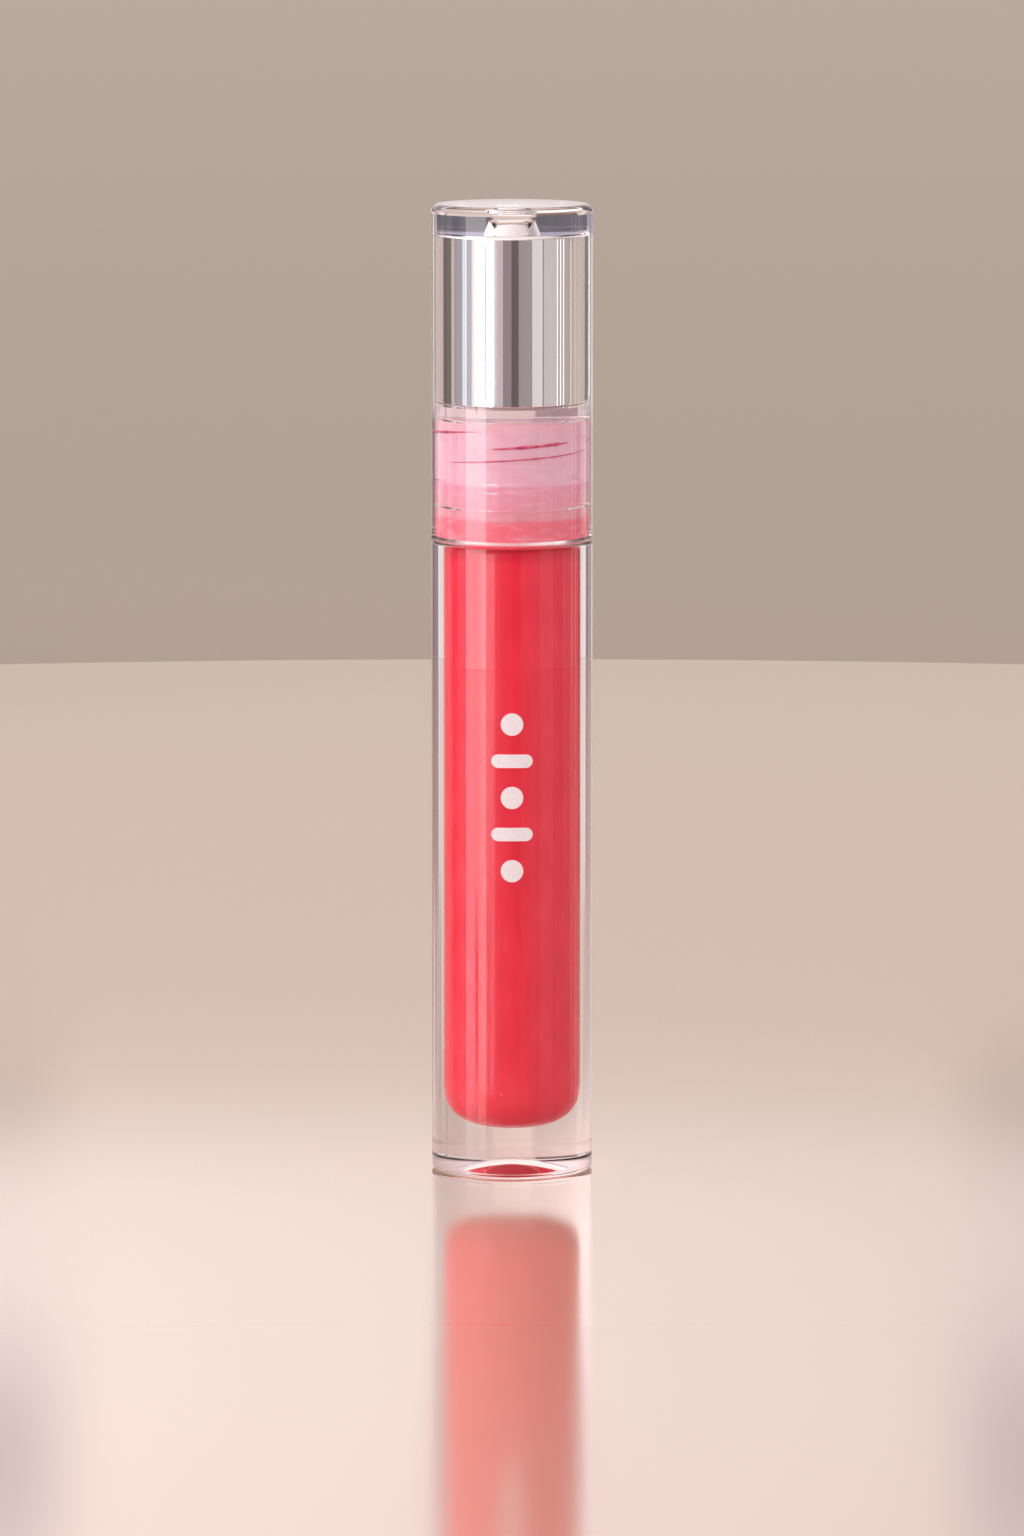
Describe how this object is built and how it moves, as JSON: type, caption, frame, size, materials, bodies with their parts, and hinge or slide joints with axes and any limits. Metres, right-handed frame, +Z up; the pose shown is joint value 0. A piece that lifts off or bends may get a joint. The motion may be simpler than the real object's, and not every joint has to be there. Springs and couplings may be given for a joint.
{
  "type": "lip gloss tube",
  "caption": "Slim round lip gloss tube: a thick clear bottle of coral red gloss, and a clear screw cap with a silver sleeve and a flocked applicator wand.",
  "frame": {"origin": "centre of the ring that the bottle stands on", "axes": "+Z up along the tube's axis, from the base to the cap; -Y is the front, where the printed mark is"},
  "size_m": [0.018, 0.018, 0.1084],
  "materials": {
    "clear_plastic": "clear, polished",
    "wiper_plastic": "soft, translucent",
    "gloss": "wet, coral red",
    "white_ink": "printed, satin",
    "silver": "bright, metallised",
    "inner_plastic": "translucent pink",
    "washer_rubber": "soft, pale",
    "wand_plastic": "translucent, smooth",
    "flock": "short fibres, stained by gloss"
  },
  "bodies": {
    "bottle": {"bottle": "clear_plastic", "wiper": "wiper_plastic", "lip_gloss": "gloss", "printed_mark": "white_ink"},
    "seal": {"seal_washer": "washer_rubber"},
    "sleeve": {"silver_sleeve": "silver"},
    "cap": {"cap_shell": "clear_plastic", "inner_cap": "inner_plastic", "wand_stem": "wand_plastic", "applicator_core": "wand_plastic", "flocked_tip": "flock"}
  },
  "joints": [
    {"name": "cap_pull", "type": "slide", "parent": "bottle", "child": "seal", "axis": [0, 0, 1], "range_m": [0, 0.078]},
    {"name": "thread_rise", "type": "slide", "parent": "seal", "child": "sleeve", "axis": [0, 0, 1], "range_m": [0, 0.0048]},
    {"name": "cap_turn", "type": "hinge", "parent": "sleeve", "child": "cap", "pos_m": [0, 0, 0.0708], "axis": [0, 0, 1], "range_deg": [0, 690]}
  ],
  "couplings": [
    {"joint": "thread_rise", "follows": "cap_turn", "m_per_rad": 0.00039789}
  ]
}
